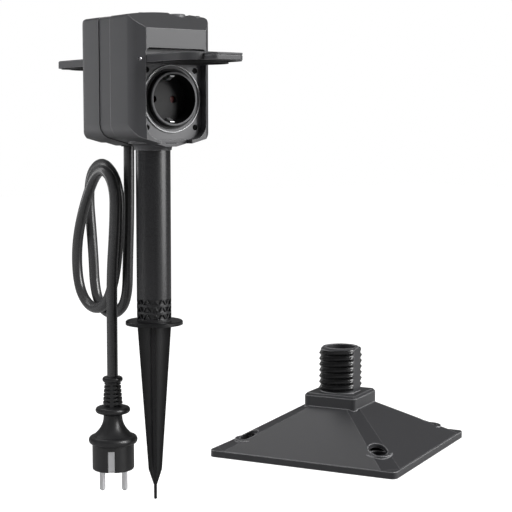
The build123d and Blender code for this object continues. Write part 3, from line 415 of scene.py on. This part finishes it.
# each plastic, with its grain and edges in millimetres
plasticLook = {
    # matt grey polypropylene with a moulded grain, its edges painted paler as a painted highlight
    "mattPolypropyleneHousing": {"colour": "#38383a", "roughness": 0.5, "edgeMm": 0.55,
                                 "edgeHighlightTone": "#a0a0a2"},
    "mattPolypropylenePlate": {"colour": "#4e4e50", "roughness": 0.5,
                               "edgeHighlightTone": "#a0a0a2"},
    "mattPolypropyleneLid": {"colour": "#303032", "roughness": 0.55, "grainDepth": 0.012,
                             "edgeMm": 0.45, "edgeHighlightTone": "#8c8c8e"},
    # heatproof resin of the socket well with little sheen, painted nearly black as painted shade inside the well
    "thermosetCupPaintedShade": {"colour": "#0f0f10", "roughness": 0.45, "sheen": 0.18},
    # polished mould: a hard gloss, its colour painted paler than its own grey as a painted highlight where the lid
    # shades it
    "glossAbsRingPaintedPale": {"colour": "#cacacc", "roughness": 0.14, "grainDepth": 0.01,
                     "sheen": 0.9},
    # glass-filled nylon from a smoother mould: dark, with a long satin highlight
    "satinNylonPole": {"colour": "#161618", "roughness": 0.27, "sheen": 0.6},
    "satinNylonSpike": {"colour": "#111112", "roughness": 0.34, "sheen": 0.3},
    # the base's edges are painted paler as a painted highlight
    "satinNylonBase": {"colour": "#303032", "roughness": 0.36, "edgeMm": 0.7, "sheen": 0.36,
                       "edgeHighlightTone": "#a0a0a2"},
    # the thread is painted much darker than the base that it belongs to, as painted shade in its valleys
    "satinNylonThreadPaintedShade": {"colour": "#0e0e0f", "roughness": 0.26, "edgeMm": 0.15},
    # small parts of resin, nylon or glass laminate, each with an even tone of its own
    "satinAbsButton": {"colour": "#5a5a5c", "roughness": 0.42},
    "redNylonShutter": {"colour": "#5a1614", "roughness": 0.35, "edgeMm": 0.2},
    "blackNylonInner": {"colour": "#1e1e20", "roughness": 0.5},
    "blueResinCase": {"colour": "#1f3a66", "roughness": 0.3},
    "greenGlassLaminate": {"colour": "#1c4a2c", "roughness": 0.35},
    "smokedPolycarbonateLens": {"colour": "#8a8c8e", "roughness": 0.2, "grainDepth": 0.01},
    # soft rubbers: dull seals, and a smoother skin on the plug and the cord
    "dullSealRubber": {"colour": "#1c1c1d", "roughness": 0.7, "grainMm": 0.25},
    "mouldedPlugRubber": {"colour": "#1b1b1c", "roughness": 0.38, "edgeMm": 0.5},
    "extrudedCordRubber": {"colour": "#313132", "roughness": 0.27, "grainMm": 0.3,
                           "edgeMm": 0.1},
}
# plated and bare metals: bright contacts and pins, blackened screws
metalTones = {
    "nickelPlatedSteel": {"colour": "#ececee", "roughness": 0.4},
    "blackenedSteel": {"colour": "#0d0d0d", "roughness": 0.55},
    "drawnBrass": {"colour": "#c8a868", "roughness": 0.3},
    "drawnAluminium": {"colour": "#b8b8ba", "roughness": 0.3},
}
finish = {name: mouldedPlastic(name, **look) for name, look in plasticLook.items()}
finish.update({name: turnedMetal(name, **look) for name, look in metalTones.items()})

# the rim of each cup, down to a small depth below its mouth, painted paler as a painted highlight
litRimLook = {"colour": "#5e5e60", "frontMouth": mountAt["front_socket"][1],
           "rearMouth": mountAt["rear_socket"][1], "depth": 0.5}


def paintLitRim(material, look):
    # painted highlight: the rim of the cup is painted paler than its inside, as lit where the well is not:
    # the base colour changes where the Y of the point lies within a small depth of the mouth of either socket
    tree = material.node_tree
    shader = next(n for n in tree.nodes if n.type == "BSDF_PRINCIPLED")
    inside = shader.inputs["Base Color"].links[0].from_socket
    place = addNode(tree, "ShaderNodeTexCoord")
    split = addNode(tree, "ShaderNodeSeparateXYZ", links={"Vector": place.outputs["Object"]})
    before = addNode(tree, "ShaderNodeMath", {"operation": "LESS_THAN"},
                     {1: (look["frontMouth"] + look["depth"]) * mm}, {0: split.outputs["Y"]})
    beyond = addNode(tree, "ShaderNodeMath", {"operation": "GREATER_THAN"},
                     {1: (look["rearMouth"] - look["depth"]) * mm}, {0: split.outputs["Y"]})
    either = addNode(tree, "ShaderNodeMath", {"operation": "MAXIMUM"},
                     links={0: before.outputs[0], 1: beyond.outputs[0]})
    litRim = addNode(tree, "ShaderNodeMix", {"data_type": "RGBA"}, {7: linear(look["colour"])},
                  {"Factor": either.outputs[0], 6: inside})
    tree.links.new(litRim.outputs[2], shader.inputs["Base Color"])


paintLitRim(finish["thermosetCupPaintedShade"], litRimLook)

# which CAD nodes wear which finish; the second list holds for the front and for the rear
nodeFinish = {
    "mattPolypropyleneHousing": ["front_housing", "rear_housing"],
    "dullSealRubber": ["housing_seal", "button_seal", "cord_grommet", "spike_seal"],
    "satinAbsButton": ["power_button"],
    "greenGlassLaminate": ["button_board", "control_board"],
    "blackNylonInner": ["push_switch", "power_module", "cord_clamp"],
    "smokedPolycarbonateLens": ["indicator_lens"],
    "blueResinCase": ["relays", "terminal_block"],
    "nickelPlatedSteel": ["radio_module", "plug_pins", "plug_earth_strips", "pole_pin"],
    "drawnAluminium": ["capacitor"],
    "satinNylonPole": ["pole"],
    "satinNylonSpike": ["ground_spike"],
    "satinNylonBase": ["mounting_base"],
}
sideFinish = {
    "mattPolypropylenePlate": ["socket_plate"],
    "thermosetCupPaintedShade": ["socket_insert"],
    "glossAbsRingPaintedPale": ["bezel_ring"],
    "dullSealRubber": ["ring_gasket", "lid_seal"],
    "nickelPlatedSteel": ["earth_clips"],
    "blackenedSteel": ["plate_screws"],
    "blackNylonInner": ["contact_block"],
    "drawnBrass": ["contact_sleeves"],
    "redNylonShutter": ["shutter"],
    "mattPolypropyleneLid": ["lid"],
}


def dress(name, material):
    # gives a CAD node its finish through its own material slots
    slots = node[name].material_slots
    if not len(slots):
        node[name].data.materials.append(material)
    for slot in slots:
        slot.material = material


for finishName, names in nodeFinish.items():
    for name in names:
        dress(name, finish[finishName])
for finishName, names in sideFinish.items():
    for name in names:
        dress("front_" + name, finish[finishName])
        dress("rear_" + name, finish[finishName])
plug.data.materials.append(finish["mouldedPlugRubber"])
cord.data.materials.append(finish["extrudedCordRubber"])
thread.data.materials.append(finish["satinNylonThreadPaintedShade"])
for pin in pins:
    pin.data.materials.append(finish["nickelPlatedSteel"])
print("materials made")


def straightSight(tree):
    # the light path, and 1 for a ray from the camera, also after something clear
    path = addNode(tree, "ShaderNodeLightPath")
    seen = addNode(tree, "ShaderNodeMath", {"operation": "MAXIMUM"},
                   links={0: path.outputs["Is Camera Ray"],
                          1: path.outputs["Is Transmission Ray"]})
    return path, seen


def stagePlaster(name, look):
    # matt white stage that shows white to the camera and keeps a soft shadow
    material = bpy.data.materials.new(name)
    tree = emptyTree(material)
    path, seen = straightSight(tree)
    sheen = addNode(tree, "ShaderNodeMath", {"operation": "MULTIPLY"},
                    {1: look["mirrored"]}, {0: path.outputs["Is Glossy Ray"]})
    power = addNode(tree, "ShaderNodeMath", {"operation": "MULTIPLY_ADD"},
                    {1: look["glow"]}, {0: seen.outputs[0], 2: sheen.outputs[0]})
    matt = addNode(tree, "ShaderNodeBsdfDiffuse", values={"Color": linear(look["colour"])})
    light = addNode(tree, "ShaderNodeEmission", values={"Color": (1, 1, 1, 1)},
                    links={"Strength": power.outputs[0]})
    both = addNode(tree, "ShaderNodeAddShader",
                   links={0: matt.outputs[0], 1: light.outputs[0]})
    addNode(tree, "ShaderNodeOutputMaterial", links={"Surface": both.outputs[0]})
    return material


# stage: a floor just under the spike's tip, and a plain block under the loose base
stageLook = {"floorLevel": -150.0, "floorSize": 9000, "blockSide": 106, "blockTop": -0.05,
             "colour": "#a0a0a0", "glow": 0.97, "mirrored": 0.1}
plaster = stagePlaster("whiteStage", stageLook)


def stagePiece(name, corners, faces):
    # flat faces between corners given in millimetres
    mesh = bpy.data.meshes.new(name)
    mesh.from_pydata((np.array(corners) * mm).tolist(), [], faces)
    mesh.materials.append(plaster)
    made = bpy.data.objects.new(name, mesh)
    scene.collection.objects.link(made)


half, low = stageLook["floorSize"] / 2, stageLook["floorLevel"]
stagePiece("stageFloor", [(-half, -half, low), (half, -half, low), (half, half, low),
                          (-half, half, low)], [(0, 1, 2, 3)])
angles = np.radians(np.array([45, 135, 225, 315]) + basePlace["turn"])
reach = stageLook["blockSide"] / math.sqrt(2)
square = np.stack([basePlace["studFoot"][0] + reach * np.cos(angles),
                   basePlace["studFoot"][1] + reach * np.sin(angles)], 1)
corners = [(x, y, level) for level in (low, stageLook["blockTop"]) for x, y in square]
stagePiece("stageBlock", corners, [(4, 5, 6, 7), (0, 1, 5, 4), (1, 2, 6, 5), (2, 3, 7, 6),
                                   (3, 0, 4, 7)])


# light, in metres and watts; hidden names the rays that don't meet a lamp
lampLook = {
    # the main light, a soft window to the right of the camera
    "rightKey": {"place": (0.9, -1.9, 1.1), "aim": (0, -0.05, 0.1), "size": (0.5, 1.5),
                 "watts": 60, "hidden": []},
    # lifts the housing's left side without a mirror image of the lamp
    "leftFill": {"place": (-1.6, 0.45, 0.55), "aim": (-0.05, -0.1, 0.08), "size": (0.7, 1.4),
                 "watts": 36, "hidden": ["glossy"]},
    # a broad highlight down the pole, the cord and the faces that look right
    "rightSheen": {"place": (1.35, -1.5, 0.35), "aim": (0, 0, 0.1), "size": (1.1, 2.4),
                   "watts": 42, "hidden": ["diffuse"]},
    # a pale sheen on the front slope of the loose base, from high behind it
    "slopeSheen": {"place": (0.09, 0.71, 1.66), "aim": (-0.15, -0.43, 0.03),
                   "size": (0.8, 0.8), "watts": 5, "hidden": ["diffuse"]},
    # a little light from straight above
    "topFill": {"place": (-0.2, -0.3, 2.0), "aim": (0, -0.1, 0.1), "size": (1.6, 1.6),
                "watts": 2, "hidden": []},
    # narrow strip close behind, for the brighter rear edge of the housing's side
    "edgeSheen": {"place": (-0.095, 0.21, 0.19), "aim": (-0.036, 0.05, 0.19),
                  "size": (0.03, 0.25), "watts": 0.08, "hidden": ["diffuse", "camera"]},
}


def softBox(name, place, aim, size, watts, hidden):
    # a rectangular lamp turned so that its face looks from its place to its aim
    data = bpy.data.lights.new(name, "AREA")
    data.shape = "RECTANGLE"
    data.size, data.size_y = size
    data.energy = watts
    lamp = bpy.data.objects.new(name, data)
    lamp.location = place
    direction = np.array(aim) - np.array(place)
    direction = direction / np.linalg.norm(direction)
    lamp.rotation_euler = (
        math.acos(-direction[2]), 0, math.atan2(direction[1], direction[0]) - math.pi / 2)
    scene.collection.objects.link(lamp)
    for ray in hidden:
        setattr(lamp, "visible_" + ray, False)


for lampName, look in lampLook.items():
    softBox(lampName, **look)

# room: white to the camera, dim in the sheen of the plastic, a little brighter for the rest
roomLook = {"diffuse": 0.22, "mirrored": 0.16, "seen": 1.0}
world = bpy.data.worlds.new("paleRoom")
worldTree = emptyTree(world)
worldPath, worldSeen = straightSight(worldTree)
dimRoom = addNode(worldTree, "ShaderNodeMapRange",
                  values={"To Min": roomLook["diffuse"], "To Max": roomLook["mirrored"]},
                  links={"Value": worldPath.outputs["Is Glossy Ray"]})
roomGlow = addNode(worldTree, "ShaderNodeMapRange", values={"To Max": roomLook["seen"]},
                   links={"Value": worldSeen.outputs[0], "To Min": dimRoom.outputs["Result"]})
room = addNode(worldTree, "ShaderNodeBackground", values={"Color": (1, 1, 1, 1)},
               links={"Strength": roomGlow.outputs["Result"]})
addNode(worldTree, "ShaderNodeOutputWorld", links={"Surface": room.outputs[0]})
scene.world = world
print("stage and light set")

bpy.context.view_layer.update()
